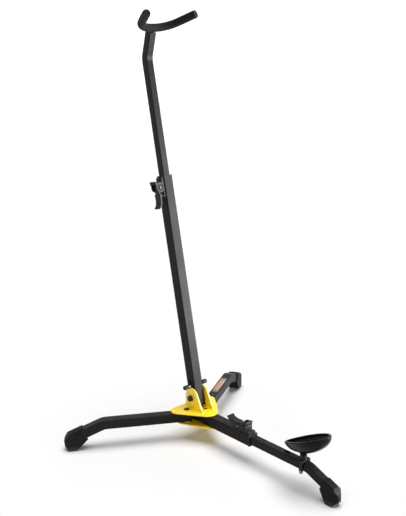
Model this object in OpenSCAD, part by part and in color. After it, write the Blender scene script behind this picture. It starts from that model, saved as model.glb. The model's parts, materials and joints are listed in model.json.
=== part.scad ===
// Folding saxophone stand: a tripod of square tubes, a telescopic leaning post with a
// padded yoke, and a cradle for the bottom bow on the telescopic front leg.
// Lengths are in millimetres. +X points along the front leg, +Z points up, and the stand
// is symmetric about Y = 0. The origin is on the floor, in the middle of the bounding box.

/* [Tubes] */
// Outside width of the lower post tube and the rear part of the front leg
outer_tube = 25; // [23:0.5:27]
// Outside width of the upper post tube and the sliding part of the front leg
inner_tube = 18; // [16:0.5:19]
// Outside width of the two side legs
side_tube = 22; // [20:0.5:24]
// Wall thickness of all tubes
wall = 1.5; // [1.2:0.1:2]

/* [Legs] */
// Height of the leg tubes' axes above the floor
leg_z = 54.5; // [50:0.5:60]
// Angle between the front leg and each side leg
leg_spread = 120; // [110:1:125]
// Distance from the hub centre to the bend of a side leg
side_bend_at = 221; // [200:1:240]
// Distance from the hub centre to the bend of the front leg
front_bend_at = 324; // [318:1:345]
// Angle by which the leg ends dip towards the floor
leg_dip = 22; // [18:1:26]
// Distance from the hub centre to the mouth of the front leg's outer tube
front_mouth_at = 165; // [155:1:175]
// Distance from the hub centre to a side leg's swivel
swivel_at = 32.7; // [32:0.1:36]

/* [Post] */
// Distance of the post's pivot behind the hub centre
pivot_back = 13.5; // [12:0.5:15]
// Height of the post's pivot
pivot_z = 94.5; // [94:0.5:98]
// Angle by which the post leans back
lean = 12.3; // [10:0.1:14]
// Distance from the pivot to the mouth of the lower post tube
post_mouth_at = 503; // [480:1:520]
// Distance from the pivot to the bend of the upper post tube
neck_bend_at = 765; // [750:1:800]
// Angle by which the neck bends forward
neck_bend = 26.6; // [20:0.1:30]
// Length of the neck from the bend to the yoke's rod
neck_len = 65; // [60:1:75]

/* [Yoke] */
// Diameter of the padding on the yoke
pad_d = 18; // [16:0.5:20]
// Diameter of the yoke's steel rod
rod_d = 8; // [7:0.5:9]
// Half the length of the straight stretch at the back of the yoke
yoke_back_half = 4; // [2:1:20]
// Radius of the yoke's corners
yoke_corner_r = 50; // [40:1:55]
// Length of the yoke's straight arms
yoke_arm = 44; // [35:1:50]
// Angle by which each arm opens outwards
yoke_flare = 23; // [15:1:30]
// Angle of the yoke's arms above the horizontal
yoke_rise = 24; // [10:0.1:30]

/* [Cradle] */
// Length of the cup's rim
cup_len = 121; // [100:1:124]
// Width of the cup halfway along
cup_width = 58; // [54:1:70]
// Depth of the cup
cup_depth = 27; // [24:1:30]
// Thickness of the cup's wall
cup_wall = 4; // [3:0.5:5]
// Angle by which the cup's front end is raised
cup_tilt = 24; // [15:1:27]
// Distance from the hub centre to the cradle's stem
fork_at = 309; // [305:1:310]

/* [Hub] */
// Thickness of the hub's steel sheet
sheet = 2.5; // [2:0.1:3]
// Distance between the inner faces of the hub's two ears
ear_gap = 29; // [28:0.5:30]
// Radius of the ears' rounded top, around the pivot
ear_top_r = 24.2; // [24:0.1:25]

/* [Hidden] */

black = "#2b2a2b";
soft_black = "#1d1c1d";
yellow = "#f2cf1f";
steel = "#b9bbbd";
nylon = "#d9d6cc";

round_fn = 64; // facets of bores and rounds
eps = 0.01; // overlap of a cutter past the face that it cuts

outer_corner = 2.5; // corner radius of the outer tubes and the side legs
inner_corner = 2; // corner radius of the inner tubes
bend_r = 40; // radius of every tube bend, on the tube's axis
slide_gap = 0.25; // gap between a sliding tube and its bush
body_gap = 0.35; // gap between solids that move past each other

left = -1;
right = 1;

// Hub levels, all heights above the floor
base_top = leg_z - outer_tube / 2;
plate_bottom = leg_z + outer_tube / 2;
plate_top = plate_bottom + sheet;
washer_t = (outer_tube - side_tube) / 2;
ear_y = ear_gap / 2;

swivel_d = 8; // shank of the swivel rivets
swivel_bore = 8.12; // bore of the sleeves that turn on them
swivel_head_d = 13;
swivel_head_h = 2;
sleeve_d = 11.5; // outside of the swivel sleeves

// Lobes of the hub's two plates: distance from the hub centre and radius, front then sides
plate_lobes = [[17, 28], [53, 16]];
base_lobes = [[30, 24], [41, 13]];

pivot = [-pivot_back, 0, pivot_z];
pivot_d = 8;
pivot_bore = 8.12;
pin_d = 5; // lock pin
seat_drop = 3; // how far the lock pin drops into the ears' notches
lock_ride = ear_top_r + pin_d / 2 + 0.3; // lock pin's distance from the pivot at rest
lock_lift = 12; // how far the lock pin lifts from rest
knob_d = 10;
knob_len = 13;
knob_inner_y = ear_y + sheet + 3.5;

post_tail = -20.5; // lower end of the post tube, along the post from the pivot
post_inner_end = 330; // lower end of the upper tube, along the post from the pivot
front_inner_end = 55; // rear end of the front leg's inner tube
front_tail = -24; // rear end of the front leg's outer tube

bush_len = 32; // length of the bushes inside the outer tubes
bush_lip = 2.5; // length of their lips outside
glide_len = 22;

// Clamp, measured along its tube from the mouth and away from the tube's face
clamp_pin_back = 22;
clamp_pin_up = 10.5;
clamp_pin_d = 5;
clamp_w = 20; // width across the clamp's ears
clamp_ear = 3.5;
lever_w = 12.2; // width of the lever between the ears
paddle_w = 19;
barrel_r = 5.4; // the lever's round around its pin
cam_shift = 0.8; // how far the cam's lobe stands out towards the shoe

yoke_pad_bore = rod_d + 0.2;
yoke_turn = 90 - yoke_flare;

fork_len = 8; // along the leg
fork_ahead = 3.5; // from the stem's axis forwards to the middle of the fork
fork_wall = 3.2;
fork_web = 67; // top of the web between the fork's sides
stem_top = 76.5; // top of the stem
stem_w = 14.5;
cross_pin_d = 4;
cross_pin_z = 42.8;

// Boots: distances past the leg's bend to the boot's start, the back and the front of
// its sole, and its nose
side_boot = [36, 62, 78, 88];
front_boot = [38, 55, 69, 81];
boot_wall = 3;

// The hub centre's place, so that the origin is in the middle of the bounding box
nose_x = front_bend_at + front_boot[3];
back_x = pivot[0] - neck_bend_at * sin(lean) - inner_tube / 2;
hub_x = -(nose_x + back_x) / 2;

// ---- placing ----
module at_hub() translate([hub_x, 0, 0]) children();

// X runs along the leg and the origin is on the leg's axis at the hub centre
module at_leg(angle) at_hub() rotate([0, 0, angle]) translate([0, 0, leg_z]) children();

module at_side(side) at_leg(side * leg_spread) children();

// Z runs up the post and the origin is on its pivot
module at_post() at_hub() translate(pivot) rotate([0, -lean, 0]) children();

// Z runs along the neck and the origin is where the yoke's rod crosses it
module at_neck_top()
    at_post() translate([0, 0, neck_bend_at]) rotate([0, neck_bend, 0])
        translate([0, 0, neck_len]) children();

// X points along the yoke's arms and the origin is in the middle of its back, a little
// ahead of the neck's axis
module at_yoke() at_neck_top() rotate([0, lean - neck_bend - yoke_rise, 0])
    translate([yoke_ahead, 0, 0]) children();
yoke_ahead = 4;

// The clamps' own frame: X runs along the tube to its mouth, Z away from the tube's face
module at_post_clamp()
    at_post() translate([0, -outer_tube / 2, post_mouth_at]) rotate([90, 0, 0])
        rotate([0, 0, 90]) children();

module at_leg_clamp() at_leg(0) translate([front_mouth_at, 0, outer_tube / 2]) children();

// ---- shared shapes ----
module rounded_square(size, r) {
    square([size - 2 * r, size], center = true);
    square([size, size - 2 * r], center = true);
    for (sx = [-1, 1], sy = [-1, 1])
        translate([sx, sy] * (size / 2 - r)) circle(r, $fn = round_fn);
}

// Square bar along +X from the origin
module bar(size, r, len) rotate([0, 90, 0]) linear_extrude(len) rounded_square(size, r);

// Outline of a rounded square as points [sideways, up]
function square_outline(size, r) =
    [for (corner = [0:3], k = [0:bend_corner_steps]) let (a = 90 * (corner + k / bend_corner_steps))
        (size / 2 - r) * [corner == 0 || corner == 3 ? 1 : -1, corner < 2 ? 1 : -1] + r * [cos(a), sin(a)]];
bend_corner_steps = 4;

function round_outline(d, n) = [for (k = [0:n - 1]) d / 2 * [cos(360 * k / n), sin(360 * k / n)]];

// Bar with one outline all the way along a flat path. Each station is [x, z, dip]: its
// place in the XZ plane and the angle by which the path dips there.
module sweep(stations, outline) {
    n = len(outline);
    last = len(stations) - 1;
    points = [for (s = stations, p = outline) [s[0] + p[1] * sin(s[2]), p[0], s[1] + p[1] * cos(s[2])]];
    sides = [for (i = [0:last - 1], k = [0:n - 1])
        [i * n + k, (i + 1) * n + k, (i + 1) * n + (k + 1) % n, i * n + (k + 1) % n]];
    ends = [[for (k = [0:n - 1]) k], [for (k = [n - 1:-1:0]) last * n + k]];
    polyhedron(points, concat(sides, ends));
}

// Path along X from start to the bend at bend_at, then dipping for len more
function bent_path(start, bend_at, dip, len) =
    let (tangent = bend_r * tan(dip / 2))
    [[start, 0, 0],
        for (i = [0:bend_steps]) let (a = dip * i / bend_steps)
            [bend_at - tangent + bend_r * sin(a), bend_r * (cos(a) - 1), a],
        [bend_at + len * cos(dip), -len * sin(dip), dip]];
bend_steps = 6;

module bent_bar(size, r, start, bend_at, dip, len)
    sweep(bent_path(start, bend_at, dip, len), square_outline(size, r));

module bent_tube(size, r, start, bend_at, dip, len) difference() {
    bent_bar(size, r, start, bend_at, dip, len);
    bent_bar(size - 2 * wall, r - wall + 0.5, start - 1, bend_at, dip, len + 1);
}

module straight_tube(size, r, len) difference() {
    bar(size, r, len);
    translate([-1, 0, 0]) bar(size - 2 * wall, r - wall + 0.5, len + 2);
}

// Cylinder along Y, centred on the origin
module cross_cylinder(d, len) rotate([90, 0, 0]) cylinder(d = d, h = len, center = true, $fn = round_fn);

module ring(outside, inside, h) difference() {
    cylinder(d = outside, h = h, $fn = round_fn);
    translate([0, 0, -1]) cylinder(d = inside, h = h + 2, $fn = round_fn);
}

// Low domed rivet head standing on z = 0
module rivet_head(d, h) {
    cylinder(d = d, h = h * 0.45, $fn = round_fn);
    translate([0, 0, h * 0.45]) cylinder(d1 = d, d2 = d * 0.55, h = h * 0.55, $fn = round_fn);
}

module rivet(d, head_d, head_h, bottom, top) {
    translate([0, 0, bottom]) cylinder(d = d, h = top - bottom, $fn = round_fn);
    translate([0, 0, top]) rivet_head(head_d, head_h);
    translate([0, 0, bottom]) mirror([0, 0, 1]) rivet_head(head_d, head_h);
}

module screw_head(d, h) difference() {
    cylinder(d = d, h = h, $fn = round_fn);
    translate([0, 0, h - 1]) cylinder(d = d * 0.45, h = 2, $fn = 6);
}

// ---- legs ----
// Where the swivel crosses a side leg, seen along the leg
module swivel_hole(d) translate([swivel_at, 0, -side_tube]) cylinder(d = d, h = 2 * side_tube, $fn = round_fn);

side_leg_start = swivel_at - 10;
side_leg_dip_len = 70;
front_leg_dip_len = 62;

module side_leg_tube(side) color(black) at_side(side) difference() {
    bent_tube(side_tube, outer_corner, side_leg_start, side_bend_at, leg_dip, side_leg_dip_len);
    swivel_hole(sleeve_d);
}

module swivel_sleeve(side) color(steel) at_side(side)
    translate([swivel_at, 0, -side_tube / 2]) ring(sleeve_d, swivel_bore, side_tube);

module front_leg_outer_tube() color(black) at_leg(0) difference() {
    translate([front_tail, 0, 0]) straight_tube(outer_tube, outer_corner, front_mouth_at - front_tail);
    front_rivet_holes(front_rivet_d);
    translate([front_mouth_at - clamp_pin_back, 0, 0]) cylinder(d = shoe_d + 2 * body_gap, h = outer_tube, $fn = round_fn);
    translate([front_mouth_at, 0, outer_tube / 2]) clamp_screw_places() translate([0, 0, -wall - 1])
        cylinder(d = clamp_screw_d, h = wall + 2, $fn = round_fn);
}

module front_leg_inner_tube() color(black) at_leg(0) difference() {
    bent_tube(inner_tube, inner_corner, front_inner_end, front_bend_at, leg_dip, front_leg_dip_len);
    translate([fork_at - cradle_slot_back, 0, inner_tube / 2 - wall - 1]) {
        linear_extrude(wall + 2) square([cradle_slot[0] - cradle_slot[1], cradle_slot[1]], center = true);
        for (end = [-1, 1]) translate([end * (cradle_slot[0] - cradle_slot[1]) / 2, 0, 0])
            cylinder(d = cradle_slot[1], h = wall + 2, $fn = round_fn);
    }
}
cradle_slot_back = 43; // from the fork to the slot for its second place
cradle_slot = [16, 6]; // length and width of the slot

// Height of a dipping leg's axis above the floor, x past its bend
function axis_z(x) = leg_z - x * tan(leg_dip);

// Side outline of a boot in the leg's plane: x past the bend, z above the floor
function boot_outline(size, b) =
    let (half = (size / 2 + boot_wall) / cos(leg_dip),
        low = [b[0], axis_z(b[0]) - half],
        top = low + (size + 2 * boot_wall) * [sin(leg_dip), cos(leg_dip)])
    [low, [b[1] - 3, 2], [b[1], 0], [b[2], 0], [b[3] - 1.5, 10], [b[3], 20],
        [b[3] - 2, 27], [b[3] - 10, axis_z(b[3] - 10) + half], top];

// Rubber boot on a leg end
module boot(size, corner, bend_at, b, tube_len) {
    width = size + 2 * boot_wall;
    bevel = 4.5;
    difference() {
        intersection() {
            translate([bend_at, width / 2, -leg_z]) rotate([90, 0, 0]) linear_extrude(width)
                polygon(boot_outline(size, b));
            // the nose's corners are bevelled in plan
            translate([bend_at, 0, -2 * leg_z]) linear_extrude(4 * leg_z) polygon([
                [0, -width / 2], [b[3] - 2 * bevel, -width / 2], [b[3] + 1, -width / 2 + 2 * bevel],
                [b[3] + 1, width / 2 - 2 * bevel], [b[3] - 2 * bevel, width / 2], [0, width / 2]]);
            // the long upper edges are bevelled
            translate([bend_at, 0, 0]) rotate([0, leg_dip, 0]) rotate([90, 0, 90])
                linear_extrude(2 * b[3]) polygon([
                    [-width / 2, -3 * width], [width / 2, -3 * width],
                    [width / 2, width / 2 - bevel], [width / 2 - bevel, width / 2],
                    [-width / 2 + bevel, width / 2], [-width / 2, width / 2 - bevel]]);
        }
        bent_bar(size, corner, bend_at - 40, bend_at, leg_dip, tube_len);
    }
}

module side_boot(side) color(soft_black) at_side(side)
    boot(side_tube, outer_corner, side_bend_at, side_boot, side_leg_dip_len);

module front_foot_boot() color(soft_black) at_leg(0)
    boot(inner_tube, inner_corner, front_bend_at, front_boot, front_leg_dip_len);

// ---- bushes, glides and plugs ----
// Bush for the mouth of an outer tube, whose mouth face is at x = 0
module bush() difference() {
    union() {
        translate([-bush_len, 0, 0]) bar(outer_tube - 2 * wall, outer_corner - wall + 0.5, bush_len);
        bar(outer_tube + 1, outer_corner, bush_lip);
    }
    translate([-bush_len - 1, 0, 0]) bar(inner_tube + 2 * slide_gap, inner_corner, bush_len + bush_lip + 2);
    translate([-clamp_pin_back, 0, 0]) cylinder(d = shoe_d + 2 * body_gap, h = outer_tube, $fn = round_fn);
}

// Glide around the inner end of a sliding tube, from x = 0
module glide() difference() {
    bar(outer_tube - 2 * wall - 2 * slide_gap, outer_corner - wall + 0.5, glide_len);
    translate([2, 0, 0]) bar(inner_tube, inner_corner, glide_len);
    translate([-1, 0, 0]) bar(inner_tube - 2 * wall - 2, 1, glide_len);
}

module front_leg_bush() color(soft_black) at_leg(0) translate([front_mouth_at, 0, 0]) bush();

module front_leg_glide() color(soft_black) at_leg(0) translate([front_inner_end - 2, 0, 0]) glide();

module front_leg_tail_plug() color(soft_black) at_leg(0) translate([front_tail, 0, 0]) {
    translate([-2, 0, 0]) bar(outer_tube, outer_corner, 2);
    bar(outer_tube - 2 * wall, outer_corner - wall + 0.5, 10);
}

// X runs up the post, so that the leg shapes can be used on it
module along_post(at) at_post() translate([0, 0, at]) rotate([0, -90, 0]) children();

module post_bush() color(soft_black) along_post(post_mouth_at) rotate([90, 0, 0]) bush();

module post_glide() color(soft_black) along_post(post_inner_end - 2) glide();

module post_heel_plug() color(soft_black) at_post() {
    heel = 2; // the plug's rear half stands this much lower, close above the hub
    translate([0, 0, post_tail]) linear_extrude(8) rounded_square(outer_tube - 2 * wall, outer_corner - wall + 0.5);
    translate([-outer_tube / 2 + 1, -outer_tube / 2 + 1, post_tail - heel]) cube([9, outer_tube - 2, heel]);
}

module neck_plug() color(soft_black) at_neck_top() difference() {
    translate([0, 0, -neck_plug_gap - 14]) linear_extrude(14) rounded_square(inner_tube - 2 * wall, 1);
    translate([0, 0, -neck_plug_gap - 15]) cylinder(d = stem_d, h = 20, $fn = round_fn);
}
neck_plug_gap = pad_d / 2 - 1.9; // from the neck's top down to the end of its tube

// ---- post ----
module post_outer_tube() color(black) at_post() difference() {
    translate([0, 0, post_tail]) rotate([0, -90, 0])
        straight_tube(outer_tube, outer_corner, post_mouth_at - post_tail);
    cross_cylinder(post_sleeve_d, 2 * outer_tube);
    lock_slot();
    translate([0, -outer_tube / 2, post_mouth_at - clamp_pin_back]) rotate([90, 0, 0])
        cylinder(d = shoe_d + 2 * body_gap, h = outer_tube, center = true, $fn = round_fn);
    translate([0, -outer_tube / 2, post_mouth_at]) rotate([90, 0, 0]) rotate([0, 0, 90])
        clamp_screw_places() translate([0, 0, -wall - 1])
            cylinder(d = clamp_screw_d, h = wall + 2, $fn = round_fn);
}
post_sleeve_d = 12;

// Slot through the post in which the lock pin slides
module lock_slot() {
    slot_w = pin_d + 0.4;
    low = lock_ride - seat_drop - 0.3;
    high = lock_ride + lock_lift + 0.3;
    for (at = [low, high]) translate([0, 0, at]) cross_cylinder(slot_w, 2 * outer_tube);
    translate([-slot_w / 2, -outer_tube, low]) cube([slot_w, 2 * outer_tube, high - low]);
}

// The sleeve fills the gap between the ears, so that the post stands in the middle
module post_pivot_sleeve() color(steel) at_post() rotate([90, 0, 0])
    translate([0, 0, body_gap - ear_y]) ring(post_sleeve_d, pivot_bore, 2 * (ear_y - body_gap));

module post_inner_tube() color(black) along_post(0)
    bent_tube(inner_tube, inner_corner, post_inner_end, neck_bend_at, neck_bend, neck_len - neck_plug_gap);

// ---- pivot ----
pivot_washer_t = 1.2;
pivot_face = ear_y + sheet + pivot_washer_t; // where the bolt's head and its nut sit
nut_h = 7;
bolt_head = [14, 10, 4.5, 1.5]; // diameter, top diameter, height, height of the bevel

module pivot_bolt() color(soft_black) at_post() {
    translate([0, pivot_face + nut_h + 1, 0]) rotate([90, 0, 0])
        cylinder(d = pivot_d, h = 2 * pivot_face + nut_h + 1 + bolt_head[2], $fn = round_fn);
    translate([0, -pivot_face, 0]) rotate([90, 0, 0]) {
        cylinder(d = bolt_head[0], h = bolt_head[2], $fn = round_fn);
        translate([0, 0, bolt_head[2]])
            cylinder(d1 = bolt_head[0], d2 = bolt_head[1], h = bolt_head[3], $fn = round_fn);
    }
}

module pivot_nut() color(steel) at_post() translate([0, pivot_face, 0]) rotate([-90, 0, 0])
    difference() {
        cylinder(d = 14.6, h = nut_h, $fn = 6);
        translate([0, 0, -1]) cylinder(d = pivot_d, h = nut_h + 2, $fn = round_fn);
    }

module pivot_washers() color(steel) at_post() for (side = [-1, 1])
    translate([0, side * (ear_y + sheet + pivot_washer_t / 2), 0]) rotate([90, 0, 0])
        translate([0, 0, -pivot_washer_t / 2]) ring(16, pivot_d + 0.2, pivot_washer_t);

// ---- lock ----
module lock_pin() color(steel) at_post() translate([0, 0, lock_ride])
    cross_cylinder(pin_d, 2 * (knob_inner_y + knob_len - 3));

module lock_knobs() color(soft_black) at_post() translate([0, 0, lock_ride]) for (side = [-1, 1])
    translate([0, side * knob_inner_y, 0]) rotate([-side * 90, 0, 0]) difference() {
        union() {
            cylinder(d1 = knob_d - 2, d2 = knob_d, h = 2, $fn = round_fn);
            translate([0, 0, 2]) cylinder(d = knob_d, h = knob_len - 4, $fn = round_fn);
            translate([0, 0, knob_len - 2]) cylinder(d1 = knob_d, d2 = knob_d - 3, h = 2, $fn = round_fn);
        }
        translate([0, 0, -1]) cylinder(d = pin_d, h = knob_len - 2, $fn = round_fn);
    }

// Tension spring between the pivot sleeve and the lock pin
spring_d = 8;
spring_wire = 1.2;
spring_turns = 7;
spring_steps = 16; // rings of points in one turn
spring_sides = 6;
spring_low = post_sleeve_d / 2 + 1.5;
spring_high = lock_ride - pin_d / 2 - 1.5;
function coil_point(i) =
    let (a = i * 360 / spring_steps, n = spring_turns * spring_steps)
    [spring_d / 2 * cos(a), spring_d / 2 * sin(a), spring_low + (spring_high - spring_low) * i / n];
function coil_ring(i) =
    let (a = i * 360 / spring_steps)
    [for (k = [0:spring_sides - 1]) let (b = k * 360 / spring_sides)
        coil_point(i) + spring_wire / 2 * [cos(b) * cos(a), cos(b) * sin(a), sin(b)]];

module coil(rings) {
    n = spring_sides;
    points = [for (i = [0:rings]) each coil_ring(i)];
    sides = [for (i = [0:rings - 1], k = [0:n - 1])
        [i * n + k, (i + 1) * n + k, (i + 1) * n + (k + 1) % n, i * n + (k + 1) % n]];
    ends = [[for (k = [0:n - 1]) k], [for (k = [n - 1:-1:0]) rings * n + k]];
    polyhedron(points, concat(sides, ends));
}

module lock_spring() color(steel) at_post() coil(spring_turns * spring_steps);

// ---- hub ----
module lobe_outline(lobes) hull() {
    translate([lobes[0][0], 0]) circle(lobes[0][1], $fn = 32);
    for (side = [-1, 1]) rotate(side * leg_spread) translate([lobes[1][0], 0])
        circle(lobes[1][1], $fn = 32);
}

front_rivet_at = 10;
front_rivet_y = 6;
front_rivet_d = 5;
module front_rivet_places() for (side = [-1, 1]) translate([front_rivet_at, side * front_rivet_y, 0]) children();
module front_rivet_holes(d) front_rivet_places() translate([0, 0, -outer_tube]) cylinder(d = d, h = 2 * outer_tube, $fn = round_fn);

detent_at = 54.4;
detent_d = 5;

// Holes through a hub plate, in the frame of the legs' axes
module plate_holes() {
    front_rivet_holes(front_rivet_d);
    for (side = [-1, 1]) rotate([0, 0, side * leg_spread]) swivel_hole(swivel_d);
}

// Side outline of an ear around the pivot: x forwards, z up
ear_back = -18.5;
ear_shoulder = 11;
ear_foot = 40;
ear_floor = plate_top - pivot_z;
function ear_outline() = [
    [ear_back, ear_floor], [ear_back, ear_shoulder],
    for (a = [112:-4:44]) ear_top_r * [cos(a), sin(a)],
    [ear_foot - 5, ear_floor + 8], [ear_foot, ear_floor]];

module ear(side) translate([pivot[0], side * (ear_y + sheet / 2), pivot_z]) rotate([90, 0, 0])
    linear_extrude(sheet, center = true) polygon(ear_outline());

module hub_bracket() color(yellow) at_hub() difference() {
    union() {
        translate([0, 0, plate_bottom]) linear_extrude(sheet) lobe_outline(plate_lobes);
        for (side = [-1, 1]) ear(side);
        // rounded inside corner along the foot of each ear
        for (side = [-1, 1]) translate([pivot[0] + ear_back, side * (ear_y + sheet), plate_top])
            mirror([0, side < 0 ? 1 : 0, 0]) rotate([90, 0, 90]) linear_extrude(ear_foot - ear_back - 2) difference() {
                square(2);
                translate([2, 2]) circle(2, $fn = round_fn);
            }
    }
    translate([0, 0, leg_z]) plate_holes();
    for (side = [-1, 1]) rotate([0, 0, side * leg_spread]) translate([detent_at, 0, 0])
        cylinder(d = detent_d, h = 2 * leg_z, $fn = round_fn);
    translate(pivot) cross_cylinder(pivot_d + 0.1, 2 * outer_tube);
    // notches that the lock pin drops into
    translate(pivot) rotate([0, -lean, 0]) {
        translate([0, 0, lock_ride - seat_drop]) cross_cylinder(pin_d + 0.6, 2 * outer_tube);
        translate([-pin_d / 2 - 0.3, -outer_tube, lock_ride - seat_drop]) cube([pin_d + 0.6, 2 * outer_tube, 20]);
    }
}

module hub_base_plate() color(yellow) at_hub() difference() {
    translate([0, 0, base_top - sheet]) linear_extrude(sheet) lobe_outline(base_lobes);
    translate([0, 0, leg_z]) plate_holes();
}

module swivel_rivet(side) color(black) at_side(side) translate([swivel_at, 0, -leg_z])
    rivet(swivel_d, swivel_head_d, swivel_head_h, base_top - sheet, plate_top);

module front_leg_rivets() color(black) at_hub() front_rivet_places()
    rivet(front_rivet_d, 8.5, 1.8, base_top - sheet, plate_top);

module swivel_washers() color(nylon) for (side = [-1, 1]) at_side(side) translate([swivel_at, 0, -leg_z])
    for (z = [base_top, plate_bottom - washer_t]) translate([0, 0, z]) ring(20, swivel_d + 0.2, washer_t);

module detent_studs() color(yellow) for (side = [-1, 1]) at_side(side) translate([detent_at, 0, -leg_z]) {
    translate([0, 0, plate_bottom - washer_t + body_gap]) cylinder(d = detent_d, h = sheet + washer_t - body_gap, $fn = round_fn);
    translate([0, 0, plate_top]) rivet_head(8, 1.2);
}

// ---- clamps ----
shoe_d = 9;
clamp_screw_d = 3.5;
clamp_base = 3; // thickness of the bracket's foot
clamp_back = 45; // the bracket's rear end, from the tube's mouth
clamp_screw_back = 41;
clamp_screw_y = 3.4;

module clamp_screw_places() for (side = [-1, 1])
    translate([-clamp_screw_back, side * clamp_screw_y, 0]) children();

// Side outline of the housing in front of the lever: x past the pin, z above the face.
// Its front wall flares out at the top, and a low lip runs on to the tube's mouth.
housing_outline = [[3, 0], [3, 14], [4.5, 21], [5.5, 23.5], [9.5, 23], [13.5, 24.6], [14, 23], [11.5, 20.5],
    [10.5, 17], [10.5, 5], [12, 4.5], [19, 5], [21, 3.5], [21, 0]];
ear_r = 11.2; // the bracket's ears around the lever's pin

// Moulded bracket on the face of an outer tube, with two ears for the lever's pin
module clamp_bracket() difference() {
    union() {
        translate([-clamp_back, -clamp_w / 2, 0]) cube([clamp_back - 1, clamp_w, clamp_base]);
        translate([-clamp_pin_back, 0, 0]) rotate([90, 0, 0]) linear_extrude(clamp_w, center = true) {
            polygon(housing_outline);
            intersection() {
                translate([0, clamp_pin_up]) circle(ear_r, $fn = round_fn);
                translate([-ear_r, 0]) square([2 * ear_r, 3 * ear_r]);
            }
        }
    }
    // room for the lever between the ears, open at the top and behind
    translate([-clamp_pin_back, 0, 0]) rotate([90, 0, 0])
        linear_extrude(clamp_w - 2 * clamp_ear, center = true)
            translate([-2 * ear_r, clamp_base]) square([2 * ear_r + 6.8, 3 * ear_r]);
    translate([-clamp_pin_back, 0, clamp_pin_up]) cross_cylinder(clamp_pin_d, 2 * clamp_w);
    translate([-clamp_pin_back, 0, -1]) cylinder(d = shoe_d + 2 * body_gap, h = clamp_base + 2, $fn = round_fn);
    clamp_screw_places() translate([0, 0, -1]) cylinder(d = clamp_screw_d, h = clamp_base + 2, $fn = round_fn);
}

module clamp_pin() translate([-clamp_pin_back, 0, clamp_pin_up]) {
    cross_cylinder(clamp_pin_d, clamp_w + 1);
    for (side = [-1, 1]) translate([0, side * (clamp_w / 2 + 0.5), 0]) cross_cylinder(clamp_pin_d + 2, 1);
}

// Shoe between the lever's cam and the sliding tube
module clamp_shoe() translate([-clamp_pin_back, 0, 0]) {
    low = inner_tube / 2 - outer_tube / 2 + slide_gap;
    high = clamp_pin_up - barrel_r - cam_shift - 0.3;
    translate([0, 0, low]) cylinder(d = shoe_d, h = high - low, $fn = round_fn);
}

// Side outline of the paddle: x from the lever's pin towards the tube's mouth, z away from it
paddle_outline = [[-1, 5.3], [-8, 5.4], [-16, 4.8], [-26, 4.3], [-32, 4.6], [-38, 5.8], [-42, 8],
    [-46, 11.4], [-47.6, 9.7], [-44, 5.7], [-40, 2.7], [-33, 0.9], [-23, 0.1], [-12, -0.5], [-5, -1.5]];

module clamp_lever() translate([-clamp_pin_back, 0, clamp_pin_up]) difference() {
    union() {
        cross_cylinder(2 * barrel_r, lever_w);
        translate([0, 0, -cam_shift]) cross_cylinder(2 * barrel_r, lever_w);
        rotate([90, 0, 0]) linear_extrude(lever_w, center = true) polygon(paddle_outline);
        // the paddle widens behind the ears
        intersection() {
            rotate([90, 0, 0]) linear_extrude(paddle_w, center = true) polygon(paddle_outline);
            translate([-60, -paddle_w, -5]) cube([45.5, 2 * paddle_w, 30]);
        }
    }
    cross_cylinder(clamp_pin_d + 0.1, 2 * lever_w);
}

module clamp_screws() clamp_screw_places() {
    translate([0, 0, clamp_base]) screw_head(5.6, 1.6);
    translate([0, 0, -wall]) cylinder(d = clamp_screw_d, h = clamp_base + wall, $fn = round_fn);
}

// ---- yoke ----
// Path of the yoke's centre line: x along the arms, z from the left tip to the right one
yoke_steps = 8;
function yoke_half_path() =
    [for (i = [0:yoke_steps]) let (a = -90 + yoke_turn * i / yoke_steps)
        [yoke_corner_r * (1 + sin(a)), yoke_back_half + yoke_corner_r * cos(a), a]];
function yoke_path(arm) =
    let (half = yoke_half_path(), end = half[yoke_steps],
        tip = [end[0] + arm * cos(end[2]), end[1] - arm * sin(end[2]), end[2]],
        side = concat(half, [tip]))
    concat([for (i = [yoke_steps + 1:-1:0]) [side[i][0], -side[i][1], -180 - side[i][2]]], side);

// Round bar of diameter d along the yoke's centre line, with straight arms of length arm
module yoke_bar(d, arm) rotate([-90, 0, 0]) sweep(yoke_path(arm), round_outline(d, 24));

// Start of the straight arm on the +Y side, X along the arm
module yoke_arm_place()
    translate([yoke_corner_r * (1 - cos(yoke_turn)), yoke_back_half + yoke_corner_r * sin(yoke_turn), 0])
        rotate([0, 0, yoke_flare]) children();

module yoke_rod() color(black) {
    at_yoke() yoke_bar(rod_d, yoke_arm - 4);
    at_neck_top() translate([0, 0, -neck_plug_gap - 12]) cylinder(d = stem_d, h = neck_plug_gap + 12, $fn = round_fn);
}
stem_d = 6.5; // stem welded to the rod, which stands in the neck's plug

module yoke_padding() color(soft_black) difference() {
    at_yoke() difference() {
        yoke_bar(pad_d, yoke_arm);
        yoke_bar(yoke_pad_bore, yoke_arm + 1);
    }
    at_neck_top() translate([0, 0, -pad_d]) cylinder(d = stem_d + 0.2, h = pad_d, $fn = round_fn);
}

module yoke_tip_plugs() color(black) at_yoke() for (side = [-1, 1]) mirror([0, side < 0 ? 1 : 0, 0])
    yoke_arm_place() translate([yoke_arm, 0, 0]) rotate([0, 90, 0]) difference() {
        union() {
            cylinder(d = pad_d - 1, h = 1.5, $fn = round_fn);
            translate([0, 0, -3.5]) cylinder(d = rod_d, h = 3.5, $fn = round_fn);
        }
        translate([0, 0, 0.3]) cylinder(d = rod_d, h = 3, $fn = round_fn);
    }

// ---- cradle ----
fork_y = inner_tube / 2 + body_gap + fork_wall;
module at_cradle() at_hub() translate([fork_at, 0, 0]) children();

module at_fork() at_cradle() translate([fork_ahead, 0, 0]) children();

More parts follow.
